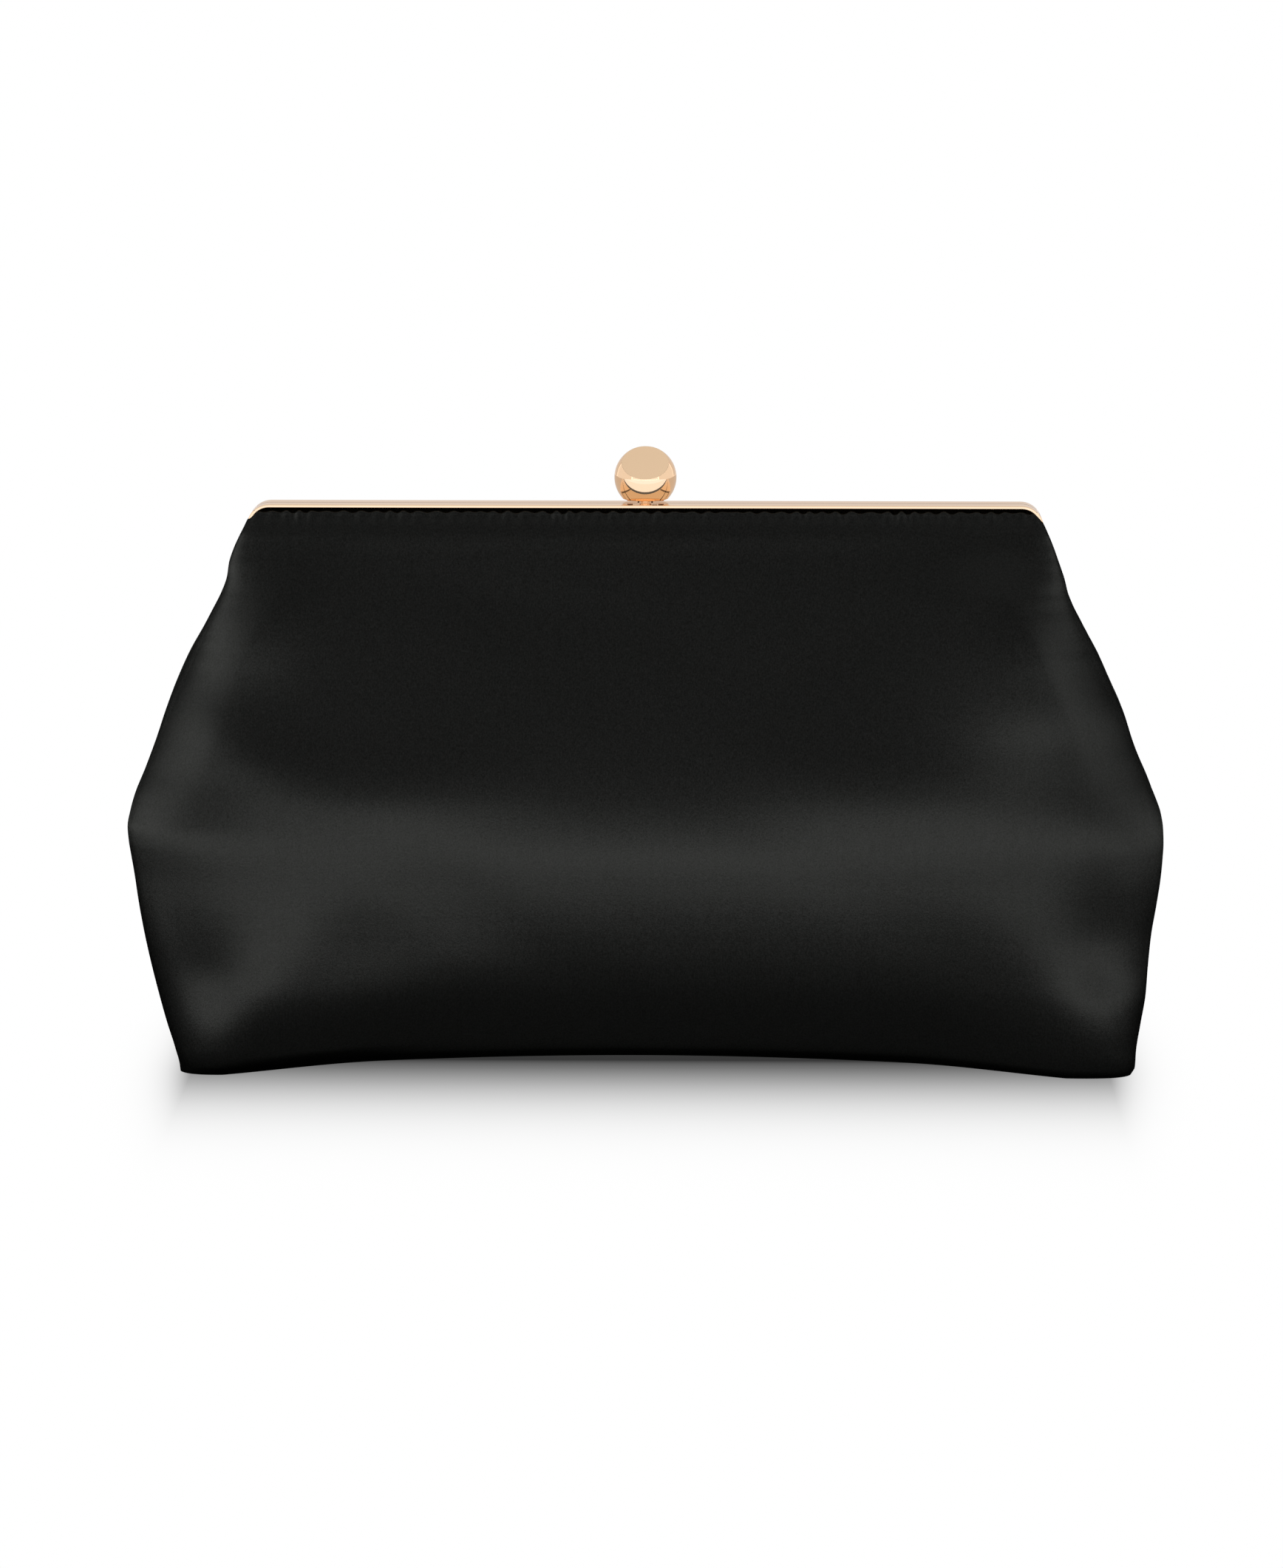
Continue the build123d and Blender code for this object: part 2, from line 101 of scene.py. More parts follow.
# height, how square the section is (1), how tightly it rounds into the seam (2)
SECTION = np.array([
    (0.0, 34.0, 1.5), (8.0, 20.0, 1.45), (30.0, 10.0, 1.4), (55.0, 7.5, 1.35), (80.0, 8.0, 1.4),
    (96.0, 10.5, 1.5), (108.0, 15.0, 1.7), (120.0, 22.0, 1.9), (130.0, 34.0, 2.0),
    (PANEL_TOP, 60.0, 2.0),
])
# height, how far from the parting plane the panels' edges lie: at the base corners, down the
# gussets, at the rivets, then in front of the frame legs
SEAM = np.array([
    (0.0, 19.2), (4.0, 19.6), (12.0, 19.4), (30.0, 18.6), (46.0, 17.4), (62.0, 15.0), (78.0, 10.0),
    (90.0, 5.2), (97.0, 2.8), (102.0, 1.6), (105.0, 1.6), (109.0, 3.2), (113.0, 4.9), (118.0, 5.5),
    (130.0, 5.5), (134.5, 5.3), (136.5, 4.9), (138.5, 4.4), (PANEL_TOP, 2.6),
])
# height, how far a panel's edge curls back towards the frame leg
CURL = np.array([
    (0.0, 0.0), (106.0, 0.0), (114.0, 0.6), (134.0, 0.6), (137.0, 0.1), (PANEL_TOP, 0.0),
])
# a panel's rows: from height, to height, how many
PANEL_RUNS = (
    (0.0, 6.0, 14), (6.0, 100.0, 96), (100.0, 132.0, 44), (132.0, 137.5, 16),
    (137.5, PANEL_TOP, 31),
)


def smooth_table(table, z):
    """Monotone cubic through a table's rows (first column is height), for each later column."""
    h, out = np.diff(table[:, 0]), []
    index = np.clip(np.searchsorted(table[:, 0], z, side="right") - 1, 0, len(table) - 2)
    t = (z - table[index, 0]) / h[index]
    for column in table.T[1:]:
        slope = np.diff(column) / h
        inner = np.where(slope[:-1] * slope[1:] > 0,
                         2 * slope[:-1] * slope[1:] / (slope[:-1] + slope[1:] + 1e-12), 0.0)
        m = np.concatenate([[slope[0]], inner, [slope[-1]]])
        a, b = column[index], column[index + 1]
        out.append((2 * t**3 - 3 * t**2 + 1) * a + (t**3 - 2 * t**2 + t) * h[index] * m[index]
                   + (3 * t**2 - 2 * t**3) * b + (t**3 - t**2) * h[index] * m[index + 1])
    return out


def bump(x, z, x0, z0, along, across, angle):
    """A soft ridge centred at (x0, z0), long along its angle (degrees from +X), height 1."""
    ca, sa = math.cos(math.radians(angle)), math.sin(math.radians(angle))
    u, v = (x - x0) * ca + (z - z0) * sa, -(x - x0) * sa + (z - z0) * ca
    return np.exp(-((u / along) ** 2) - (v / across) ** 2)


def step(value, low, high):
    """0 below low, 1 above high, smooth between. With low above high, it falls instead."""
    t = np.clip((value - low) / (high - low), 0, 1)
    return t * t * (3 - 2 * t)


def noise1(s, seed, count=9, low=0.02, high=0.12):
    """A seeded wandering line, about -1 to 1."""
    rng = np.random.default_rng(seed)
    f, p = rng.uniform(low, high, count), rng.uniform(0, 2 * math.pi, count)
    return sum(np.sin(2 * math.pi * fi * s + pi) for fi, pi in zip(f, p)) / math.sqrt(count)


# ridges (+) and valleys (-): x, z, length, width, angle, height
FRONT_FOLDS = [
    (-96, 112, 18, 12, 58, 1.5),      # puff below the left leg
    (-107, 85, 27, 10, -22, 1.9),     # roll below the crease from the left side
    (-116, 64, 20, 14, -14, 0.5),     # widest place of the left side
    (-108, 25, 8.5, 14, 24, -0.9),    # dimple at the lower left
    (-121, 30, 4.0, 13, 10, 0.6),     # narrow ridge outside that dimple
    (-101, 13, 30, 9.5, 55, 1.1),     # ridge to the lower left corner
    (-92, 16, 20, 24, 0, 1.1),        # flatter face above that corner
    (-74, 14, 36, 14, 20, 1.3),       # swell between that ridge and the middle of the base
    (109, 17, 28, 10, -52, 0.75),     # ridge to the lower right corner
    (115, 36, 9.5, 15, 4, -1.35),     # hollow down the right side
    (99, 110, 30, 27, 74, 5.0),       # fullness at the upper right
    (-58, 74, 28, 12, 4, 0.8),        # two swells of the upper edge of the belly
    (54, 75, 32, 12, -6, 0.75),
    (97, 88, 18, 12, 0, 0.4),         # lower end of the upper right fullness
    (60, 112, 34, 8, 24, -0.2),       # two faint valleys below the bar
    (-30, 118, 40, 8, -12, -0.2),
]
BACK_FOLDS = [
    (98, 100, 18, 10, -60, 1.2), (96, 82, 20, 5, 24, -1.5), (-100, 86, 22, 5.5, -30, -1.2),
    (-104, 30, 5, 16, 10, -1.1), (110, 28, 5, 15, -12, -1.0), (100, 18, 20, 6, -52, 1.2),
    (-102, 18, 20, 6, 52, 1.2), (-40, 74, 30, 10, -5, 0.8), (48, 70, 28, 10, 8, 0.8),
    (0, 112, 40, 8, 10, -0.4),
]


def arch(x):
    """How far the base's edge stands off the table at x."""
    return ARCH_HEIGHT * np.clip(1 - (np.abs(x) / ARCH_HALF) ** 1.9, 0, 1)


def at_height(table, z):
    """A table's later columns at one height."""
    return [column[0] for column in smooth_table(table, np.array([z]))]


def corner_pull(x, z):
    """How much further out the lowest corners stand than the middle of the base."""
    return CORNER_PULL * step(np.abs(x), 66, 112) * np.exp(-((z / 15.0) ** 1.4))


def half_row(z, left, columns, trim):
    """One half of a panel's row at height z, columns points from the middle to the seam, with
    trim taken off its width. It is part of a superellipse, then a small curl round the frame's
    leg."""
    width = at_height(SILHOUETTE, z)[0 if left else 1] - trim
    depth, = at_height(DEPTH, z)
    square, tight = at_height(SECTION, z)
    seam, = at_height(SEAM, z)
    curl, = at_height(CURL, z)
    u = 1 - (1 - np.linspace(0, 1, 600)) ** 3
    depth = depth + corner_pull(u * width, z)
    x, y = u * width, seam + (depth - seam) * (1 - u**square) ** (1 / tight)
    if curl > 0.02:
        turn = np.radians(np.linspace(6, 110, 18))  # a little over a quarter turn
        x = np.concatenate([x, width - curl + curl * np.cos(turn)])
        y = np.concatenate([y, seam - curl * np.sin(turn)])
    run = np.concatenate([[0], np.cumsum(np.hypot(np.diff(x), np.diff(y)))])
    # columns are even over the face and closer together round the corner
    at = np.linspace(0, 1, columns)
    at = run[-1] * (1.25 * at - 0.25 * at**3)
    return np.interp(at, run, x), np.interp(at, run, y)


def panel_surface(side, columns, folds, seed):
    """Points of the front (-1) or back (1) panel, rows from the base to the frame."""
    heights = np.concatenate(
        [np.linspace(*run, endpoint=run[1] == PANEL_TOP) for run in PANEL_RUNS])
    rows = len(heights)
    grid = np.zeros((rows, 2 * columns - 1, 3))
    for i, z in enumerate(heights):
        # the back shows less past the legs than the front
        trim = 1.3 * step(z, 98, 106) + 0.9 * step(z, 133, 136) if side > 0 else 0.0
        xl, yl = half_row(z, side < 0, columns, trim)
        xr, yr = half_row(z, side > 0, columns, trim)
        grid[i, :, 0] = np.concatenate([-xl[::-1], xr[1:]])
        grid[i, :, 1] = -np.concatenate([yl[::-1], yr[1:]])
        grid[i, :, 2] = z
    if side > 0:
        grid[:, :, 0] *= -1
    x, z = grid[:, :, 0].copy(), grid[:, :, 2].copy()
    # the back is still laid out in mirror image, in front, so its normals are turned over
    normal = surface_normals(grid) * (-side)
    near_edge = step(np.abs(np.linspace(-1, 1, 2 * columns - 1))[None, :], 0.995, 0.96)
    lift = np.zeros_like(x)
    for x0, z0, along, across, angle, height in folds:
        lift += height * bump(x, z, x0, z0, along, across, angle)
    lift += 0.07 * noise1(x * 0.6 + z * 0.8, seed, low=0.01, high=0.05)
    # all of it fades out towards the base's seam and the bar
    lift *= step(z, 0.0, 7.0) * step(z, 139.0, 118.0)
    # the seams hold the panel's edges, more so higher up
    left_half, right_half = (np.interp(z, SILHOUETTE[:, 0], SILHOUETTE[:, c]) for c in (1, 2))
    width = np.where(x < 0, left_half, right_half)
    inside = np.clip(width - np.abs(x), 0, None)
    lift *= 1 - 0.75 * step(inside, 17, 0) * step(z, 40, 66)
    # gathers at the stitches: along the bar, then down both legs
    bar = np.clip(FRAME_TOP - z, 0, None)
    wander = x + 0.8 * noise1(x, seed + 1, low=0.01, high=0.05)
    strength = 0.75 + 0.35 * noise1(x, seed + 2, low=0.01, high=0.09)
    pleat = 0.5 + 0.5 * np.cos(2 * math.pi * wander / BAR_PITCH)
    gather = 0.20 * np.exp(-(((bar - 1.9) / 1.6) ** 2)) + 0.05 * np.exp(-bar / 13.0)
    lift += strength * pleat * gather
    # the hem's line under the edge
    lift -= 0.05 * np.exp(-(((z - 136.4 - 0.15 * noise1(x, seed + 4)) / 1.1) ** 2))
    beside = np.clip(1 - np.abs(x) / left_half, 0, 1) * 105  # millimetres from the edge, nearly
    leg = step(z, 100, 108) * step(z, 141, 134)
    wave = 0.5 + 0.5 * np.cos(2 * math.pi * (z + 0.8 * noise1(z, seed + 3)) / LEG_PITCH)
    lift += 0.09 * leg * wave * np.exp(-beside / 5.0) * step(beside, -0.5, 1.5)
    # folds stand out to the front more than to the side, so that the outline stays put
    grid += normal * (SIDEWAYS, 1.0, 1.0) * (lift * near_edge)[:, :, None]
    # the folded top edge dips between stitches
    edge = step(z, 136.5, 139.9) * step(z, PANEL_TOP, 140.5)
    grid[:, :, 2] -= 0.5 * (1 - pleat) ** 1.3 * strength * edge
    grid[:, :, 2] += arch(grid[:, :, 0]) * step(z, ARCH_FADE, 0.0)
    if side > 0:
        grid[:, :, 1] *= -1
    return grid


def surface_normals(grid):
    """Unit normals of a grid, pointing to -Y on a front panel."""
    du, dv = np.gradient(grid, axis=1), np.gradient(grid, axis=0)
    n = np.cross(du, dv)
    n /= np.linalg.norm(n, axis=2)[:, :, None] + 1e-12
    return n


# ------------------------------------------------------------- meshes
def mesh_object(name, points, faces, material):
    mesh = bpy.data.meshes.new(name)
    mesh.from_pydata((np.asarray(points) * MM).tolist(), [], faces)
    mesh.update()
    mesh.polygons.foreach_set("use_smooth", [True] * len(mesh.polygons))
    obj = bpy.data.objects.new(name, mesh)
    bpy.context.scene.collection.objects.link(obj)
    mesh.materials.append(material)
    return obj


def shell(name, outer, inner, material):
    """A closed sheet between two grids of the same size. Outer faces away from the pouch."""
    rows, cols = outer.shape[:2]
    points = np.concatenate([outer.reshape(-1, 3), inner.reshape(-1, 3)])
    ij = np.arange(rows * cols).reshape(rows, cols)
    a, b, c, d = ij[:-1, :-1], ij[:-1, 1:], ij[1:, 1:], ij[1:, :-1]
    quads = np.stack([a, b, c, d], axis=-1).reshape(-1, 4)
    back = quads[:, ::-1] + rows * cols
    rim = np.concatenate([ij[0, :], ij[1:, -1], ij[-1, -2::-1], ij[-2:0:-1, 0]])
    after = np.roll(rim, -1)
    sides = np.stack([after, rim, rim + rows * cols, after + rows * cols], axis=-1)
    obj = mesh_object(name, points, np.concatenate([quads, back, sides]).tolist(), material)
    # u runs across the cloth and v up it, for the direction of its gloss
    v, u = np.divmod(np.arange(2 * rows * cols) % (rows * cols), cols)
    corners = np.zeros(len(obj.data.loops), dtype=np.int32)
    obj.data.loops.foreach_get("vertex_index", corners)
    uv = np.stack([u[corners] / cols, v[corners] / rows], axis=-1)
    obj.data.uv_layers.new(name="cloth").data.foreach_set("uv", uv.astype(np.float32).ravel())
    return obj


def layer(name, grid, start, thickness, material):
    """A sheet that lies start below the grid's outer side."""
    n = surface_normals(grid)
    return shell(name, grid - n * start, grid - n * (start + thickness), material)


# ------------------------------------------------------------- materials
def new_material(name):
    material = bpy.data.materials.new(name)
    material.use_nodes = True
    return material, material.node_tree, material.node_tree.nodes["Principled BSDF"]


def add_node(tree, kind, inputs=None, **settings):
    node = tree.nodes.new(kind)
    for key, value in settings.items():
        setattr(node, key, value)
    for key, value in (inputs or {}).items():
        if hasattr(value, "is_linked"):
            tree.links.new(value, node.inputs[key])
        else:
            node.inputs[key].default_value = value
    return node


def satin_material():
    """Filament satin. Its floats run up the bag, so its gloss is narrow upwards, wide sideways."""
    material, tree, shader = new_material("black_satin_fabric")
    shader.inputs["Metallic"].default_value = 1.0
    shader.inputs["Specular Tint"].default_value = (0, 0, 0, 1)
    shader.inputs["Anisotropic"].default_value = 0.6
    across = add_node(tree, "ShaderNodeTangent", direction_type="UV_MAP", uv_map="cloth")
    tree.links.new(across.outputs[0], shader.inputs["Tangent"])
    where = add_node(tree, "ShaderNodeTexCoord").outputs["Object"]
    warp = add_node(tree, "ShaderNodeMapping", {"Vector": where, "Scale": (3000.0, 3000.0, 1300.0)})
    threads = add_node(tree, "ShaderNodeTexNoise",
                       {"Vector": warp.outputs[0], "Scale": 1.0, "Detail": 2.0})
    glint = add_node(tree, "ShaderNodeTexNoise", {"Vector": where, "Scale": 2600.0, "Detail": 1.0})
    slub_map = add_node(tree, "ShaderNodeMapping", {"Vector": where, "Scale": (700.0, 700.0, 90.0)})
    slub = add_node(tree, "ShaderNodeTexNoise",
                    {"Vector": slub_map.outputs[0], "Scale": 1.0, "Detail": 3.0})
    mix = add_node(tree, "ShaderNodeMath", {0: threads.outputs[0], 1: glint.outputs[0]},
                   operation="ADD")
    relief = add_node(tree, "ShaderNodeBump",
                      {"Height": mix.outputs[0], "Strength": 0.14, "Distance": 0.1 * MM})
    tree.links.new(relief.outputs[0], shader.inputs["Normal"])
    fleck = add_node(tree, "ShaderNodeMix", {0: 0.18, 2: mix.outputs[0], 3: slub.outputs[0]})
    tone = add_node(tree, "ShaderNodeMapRange",
                    {"Value": fleck.outputs[0], 1: 0.6, 2: 1.2, 3: 0.0, 4: 1.0})
    colour = add_node(tree, "ShaderNodeMix", {0: tone.outputs[0]}, data_type="RGBA")
    colour.inputs["A"].default_value = (0.0267, 0.0275, 0.0256, 1)
    colour.inputs["B"].default_value = (0.0451, 0.0460, 0.0441, 1)
    tree.links.new(colour.outputs["Result"], shader.inputs["Base Color"])
    rough = add_node(tree, "ShaderNodeMapRange",
                     {"Value": threads.outputs[0], 1: 0.25, 2: 0.75, 3: 0.37, 4: 0.45})
    tree.links.new(rough.outputs[0], shader.inputs["Roughness"])
    return material


def woven_material(name, colour, pitch, roughness, depth):
    """Plain weave of threads pitch millimetres apart, with a relief of depth millimetres."""
    material, tree, shader = new_material(name)
    where = add_node(tree, "ShaderNodeTexCoord").outputs["Object"]
    parts = add_node(tree, "ShaderNodeSeparateXYZ", {0: where})
    turn = 2 * math.pi / (pitch * MM)
    waves = []
    for axis in (0, 2):
        scaled = add_node(tree, "ShaderNodeMath", {0: parts.outputs[axis], 1: turn},
                          operation="MULTIPLY")
        wave = add_node(tree, "ShaderNodeMath", {0: scaled.outputs[0]}, operation="SINE")
        waves.append(wave.outputs[0])
    weave = add_node(tree, "ShaderNodeMath", {0: waves[0], 1: waves[1]}, operation="MULTIPLY")
    relief = add_node(tree, "ShaderNodeBump",
                      {"Height": weave.outputs[0], "Strength": 0.5, "Distance": depth * MM})
    tree.links.new(relief.outputs[0], shader.inputs["Normal"])
    fuzz = add_node(tree, "ShaderNodeTexNoise", {"Vector": where, "Scale": 900.0, "Detail": 3.0})
    mix = add_node(tree, "ShaderNodeMix", {0: fuzz.outputs[0]}, data_type="RGBA")
    mix.inputs["A"].default_value = (*[c * 0.7 for c in colour], 1)
    mix.inputs["B"].default_value = (*[c * 1.3 for c in colour], 1)
    tree.links.new(mix.outputs["Result"], shader.inputs["Base Color"])
    shader.inputs["Roughness"].default_value = roughness
    shader.inputs["Sheen Weight"].default_value = 0.15
    return material


def metal_material(name, colour, roughness, grain):
    """Metal with faint polishing lines along X; grain is how strong their relief is."""
    material, tree, shader = new_material(name)
    shader.inputs["Metallic"].default_value = 1.0
    where = add_node(tree, "ShaderNodeTexCoord").outputs["Object"]
    polish = add_node(tree, "ShaderNodeMapping", {"Vector": where, "Scale": (60.0, 2500.0, 2500.0)})
    lines = add_node(tree, "ShaderNodeTexNoise",
                     {"Vector": polish.outputs[0], "Scale": 1.0, "Detail": 4.0})
    rough = add_node(tree, "ShaderNodeMapRange",
                     {"Value": lines.outputs[0], 1: 0.3, 2: 0.7,
                      3: roughness * 0.8, 4: roughness * 1.3})
    tree.links.new(rough.outputs[0], shader.inputs["Roughness"])
    relief = add_node(tree, "ShaderNodeBump",
                      {"Height": lines.outputs[0], "Strength": grain, "Distance": 0.02 * MM})
    tree.links.new(relief.outputs[0], shader.inputs["Normal"])
    cloud = add_node(tree, "ShaderNodeTexNoise", {"Vector": where, "Scale": 60.0, "Detail": 2.0})
    mix = add_node(tree, "ShaderNodeMix", {0: cloud.outputs[0]}, data_type="RGBA")
    mix.inputs["A"].default_value = (*[c * 0.96 for c in colour], 1)
    mix.inputs["B"].default_value = (*[min(c * 1.03, 1.0) for c in colour], 1)
    tree.links.new(mix.outputs["Result"], shader.inputs["Base Color"])
    return material


SATIN_MAT = satin_material()
LINING_MAT = woven_material("black_lining_fabric", (0.012, 0.012, 0.014), 0.35, 0.75, 0.05)
FELT_MAT = woven_material("stiffener_felt", (0.5, 0.49, 0.46), 1.3, 0.95, 0.1)
BOARD_MAT = woven_material("base_board", (0.36, 0.32, 0.27), 2.1, 0.9, 0.05)
THREAD_MAT = woven_material("black_thread", (0.01, 0.01, 0.011), 0.4, 0.6, 0.1)
GOLD_MAT = metal_material("rose_gold_plate", (0.93, 0.665, 0.43), 0.06, 0.008)
STEEL_MAT = metal_material("spring_steel", (0.56, 0.55, 0.53), 0.28, 0.25)

NODE_MATERIALS = (
    (GOLD_MAT, ("front_frame", "rear_frame", "clasp_ball", "clasp_lever", "hinge_rivet_left",
                "hinge_rivet_right")),
    (STEEL_MAT, ("clasp_pivot_pin", "clasp_spring", "clasp_catch", "catch_rivets")),
    (THREAD_MAT, ("front_thread", "rear_thread")),
)
for node_material, node_names in NODE_MATERIALS:
    for node_name in node_names:
        for slot in frame["nodes"][node_name].material_slots:
            slot.material = node_material

# ------------------------------------------------------------- the pouch
def place(piece, nodes, body="pouch"):
    """Let a piece stand for CAD nodes, hiding them, and ride on one body if one is given."""
    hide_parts(*nodes)
    if body:
        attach(piece, body)


front = panel_surface(-1, COLUMNS, FRONT_FOLDS, FRONT_SEED)
back = panel_surface(1, COLUMNS, BACK_FOLDS, BACK_SEED)
# the stiffener's rows stop below the bend, so that it can stay on the pouch
STIFFENER_ROWS, STIFFENER_COLUMNS = slice(8, 106, 2), slice(8, -8, 2)
LINING_ROWS, LINING_COLUMNS = slice(6, -2, 2), slice(4, -4, 2)
for word, grid, half, sign in (("front", front, "front_half", -1), ("back", back, "rear_half", 1)):
    satin = layer(f"satin_{word}", grid, 0.0, SATIN, SATIN_MAT)
    place(satin,
          [f"{word}_panel", f"{word}_panel_bend", f"{word}_panel_top"], body=None)
    stiffener = layer(f"stiffener_{word}", grid[STIFFENER_ROWS, STIFFENER_COLUMNS],
                      SATIN + 0.05, STIFFENER, FELT_MAT)
    place(stiffener, [f"{word}_stiffener"])
    lining = layer(f"lining_{word}", grid[LINING_ROWS, LINING_COLUMNS],
                   SATIN + STIFFENER + 0.1, LINING, LINING_MAT)
    place(lining, [f"{word}_lining", f"{word}_lining_top"], body=None)
    for piece in (satin, lining):
        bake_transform(piece)


def gusset_surface(end, rows, columns):
    """The side of the pouch from the front seam to the back seam, up to the rivets. It folds
    inwards between the seams, more towards the rivets."""
    grid = np.zeros((rows, columns, 3))
    # from the table to just below the rivets, a little closer together at the foot
    t = np.linspace(0, 1, rows)
    heights = (HINGE_Z - 1.0) * (t - 0.24 * np.sin(math.pi * t) * (1 - t))
    across = np.linspace(-1, 1, columns)
    for i, z in enumerate(heights):
        width = at_height(SILHOUETTE, z)[0 if end < 0 else 1]
        seam, = at_height(SEAM, z)
        # how far the middle of the gusset is folded in
        tuck = (1.2 + 5.6 * step(z, 4, 34)) * (1 - 0.8 * step(z, 86, 103))
        hollow = (1 - across**2) ** 0.85
        grid[i, :, 0] = end * (width - 0.25 - tuck * hollow)
        grid[i, :, 1], grid[i, :, 2] = seam * across, z
    y, z = grid[:, :, 1], grid[:, :, 2]
    fold = 1.3 * bump(y, z, -5, 30, 4, 18, 8) + 0.9 * bump(y, z, 7, 46, 3.5, 16, -12)
    fold += 2.2 * bump(y, z, 0, 70, 2.2, 26, 0) + 0.8 * bump(y, z, 3, 12, 6, 5, 20)
    grid[:, :, 0] -= end * fold * step(np.abs(across), 1.0, 0.75)[None, :] * step(z, 0, 10)
    grid[:, :, 2] += arch(grid[:, :, 0]) * step(z, ARCH_FADE, 0.0)
    return grid if end > 0 else grid[:, ::-1]


for word, end in (("left", -1), ("right", 1)):
    grid = gusset_surface(end, 110, 61)
    piece = layer(f"satin_gusset_{word}", grid, 0.0, SATIN, SATIN_MAT)
    place(piece, [f"{word}_gusset"])
    piece = layer(f"lining_gusset_{word}", grid[4:-2:2, ::2], SATIN + 0.2, LINING, LINING_MAT)
    place(piece, [f"{word}_gusset_lining"])


def base_surface(rows, columns):
    """The base, inside the lowest edge of the panels and gussets; rows run from back to front."""
    grid = np.zeros((rows, columns, 3))
    low = 0.6  # the height whose outline it fills
    depth, = at_height(DEPTH, low)
    seam, = at_height(SEAM, low)
    left, right = at_height(SILHOUETTE, low)
    square, tight = at_height(SECTION, low)
    s = np.linspace(-1, 1, columns)
    s = np.sign(s) * (1 - (1 - np.abs(s)) ** 1.6)
    x = np.where(s < 0, s * left, s * right) * 0.992
    depth = depth + corner_pull(x, low)
    reach = seam + (depth - seam) * (1 - np.abs(s * 0.99) ** square) ** (1 / tight) - 0.3
    for i, v in enumerate(np.linspace(-1, 1, rows)):
        grid[i, :, 0], grid[i, :, 1] = x, -v * reach
        grid[i, :, 2] = 0.35 + arch(x)
    return grid


base = base_surface(41, 160)
base_inside = base[2:-2, 6:-6]
place(layer("satin_base", base, 0.0, SATIN, SATIN_MAT), ["base_panel"])
place(layer("base_board", base_inside, SATIN + 0.1, BOARD, BOARD_MAT), ["base_card"])
place(layer("lining_base", base_inside, SATIN + BOARD + 0.3, LINING, LINING_MAT),
      ["base_lining"])

# slip pocket on the back lining
POCKET_LOW, POCKET_HIGH, POCKET_HALF = 28, 88, 60
pocket_rows = (back[:, COLUMNS, 2] > POCKET_LOW) & (back[:, COLUMNS, 2] < POCKET_HIGH)
pocket_columns = np.abs(back[60, :, 0]) < POCKET_HALF
pocket = back[pocket_rows][:, pocket_columns][::2, ::2]
pocket_depth = SATIN + STIFFENER + LINING + 0.4
place(layer("slip_pocket", pocket, pocket_depth, LINING, LINING_MAT),
      ["slip_pocket"])

# ------------------------------------------------------------- stage
def glow_material(name):
    """A white surface that shines evenly, whatever lights it."""
    material = bpy.data.materials.new(name)
    material.use_nodes = True
    tree = material.node_tree
    tree.nodes.clear()
    glow = add_node(tree, "ShaderNodeEmission")
    out = add_node(tree, "ShaderNodeOutputMaterial")
    tree.links.new(glow.outputs[0], out.inputs["Surface"])
    return material, tree, glow


def floor_with_painted_shadow():
    """White, darker under the pouch where a shadow is painted into its glow: fading quickly to the
    sides and slower forwards.
    """
    material, tree, glow = glow_material("studio_floor_painted_shadow")
    where = add_node(tree, "ShaderNodeTexCoord").outputs["Object"]
    parts = add_node(tree, "ShaderNodeSeparateXYZ", {0: where})

    def math_node(operation, a, b=0.0):
        return add_node(tree, "ShaderNodeMath", {0: a, 1: b}, operation=operation).outputs[0]

    def beyond(value, limit, length):
        """How far a coordinate is past a limit, in lengths."""
        past = math_node("SUBTRACT", math_node("ABSOLUTE", value), limit)
        return math_node("DIVIDE", math_node("MAXIMUM", past, 0.0), length)

    def fall(value, power):
        """1 where the value is 0, falling towards 0 beyond."""
        return math_node("EXPONENT", math_node("MULTIPLY", math_node("POWER", value, power), -1.0))

    # the pouch's lowest edges stand round (0.0015, 0); half depths, half widths and fading lengths
    # follow, in metres, for the wide painted soft shadow, which also stands in for the pouch's
    # reflection, and for the painted contact shadow
    x = math_node("SUBTRACT", parts.outputs[0], 0.0015)
    y = parts.outputs[1]
    wide = math_node("MULTIPLY", fall(beyond(y, 0.013, 0.040), 1.6),
                     fall(beyond(x, 0.1155, 0.0050), 1.2))
    tight = math_node("MULTIPLY", fall(beyond(y, 0.006, 0.009), 1.0),
                      fall(beyond(x, 0.112, 0.0035), 1.0))
    # painted shadow: how far the floor's glow is dimmed, the wide fade plus the contact shadow
    painted_shadow = math_node("ADD", math_node("MULTIPLY", wide, 0.74), math_node("MULTIPLY", tight, 0.22))
    tree.links.new(math_node("SUBTRACT", 1.0, painted_shadow), glow.inputs["Strength"])
    return material


def unseen_in_gloss(obj):
    """Keep a stage piece out of what the purse's surfaces reflect."""
    obj.visible_glossy = False
    obj.visible_diffuse = False
    return obj


FLOOR_HALF = 3000.0
FLOOR_Z = -0.05  # a hair under the pouch's lowest points
WALL_HEIGHT = 3000.0
WALL_SIDES = 64
corners = [(x, y, FLOOR_Z) for y in (-FLOOR_HALF, FLOOR_HALF) for x in (-FLOOR_HALF, FLOOR_HALF)]
# the floor glows evenly, except for a shadow painted into it under the pouch
floor = unseen_in_gloss(
    mesh_object("studio_floor_painted_shadow", corners, [(0, 1, 3, 2)], floor_with_painted_shadow()))
turns = [2 * math.pi * i / WALL_SIDES for i in range(WALL_SIDES)]
wall_points = [(FLOOR_HALF * math.sin(turn), FLOOR_HALF * math.cos(turn), z)
               for z in (FLOOR_Z, WALL_HEIGHT) for turn in turns]
wall_faces = [(i, (i + 1) % WALL_SIDES, WALL_SIDES + (i + 1) % WALL_SIDES, WALL_SIDES + i)
              for i in range(WALL_SIDES)]
backdrop = unseen_in_gloss(
    mesh_object("studio_backdrop", wall_points, wall_faces, glow_material("studio_backdrop")[0]))

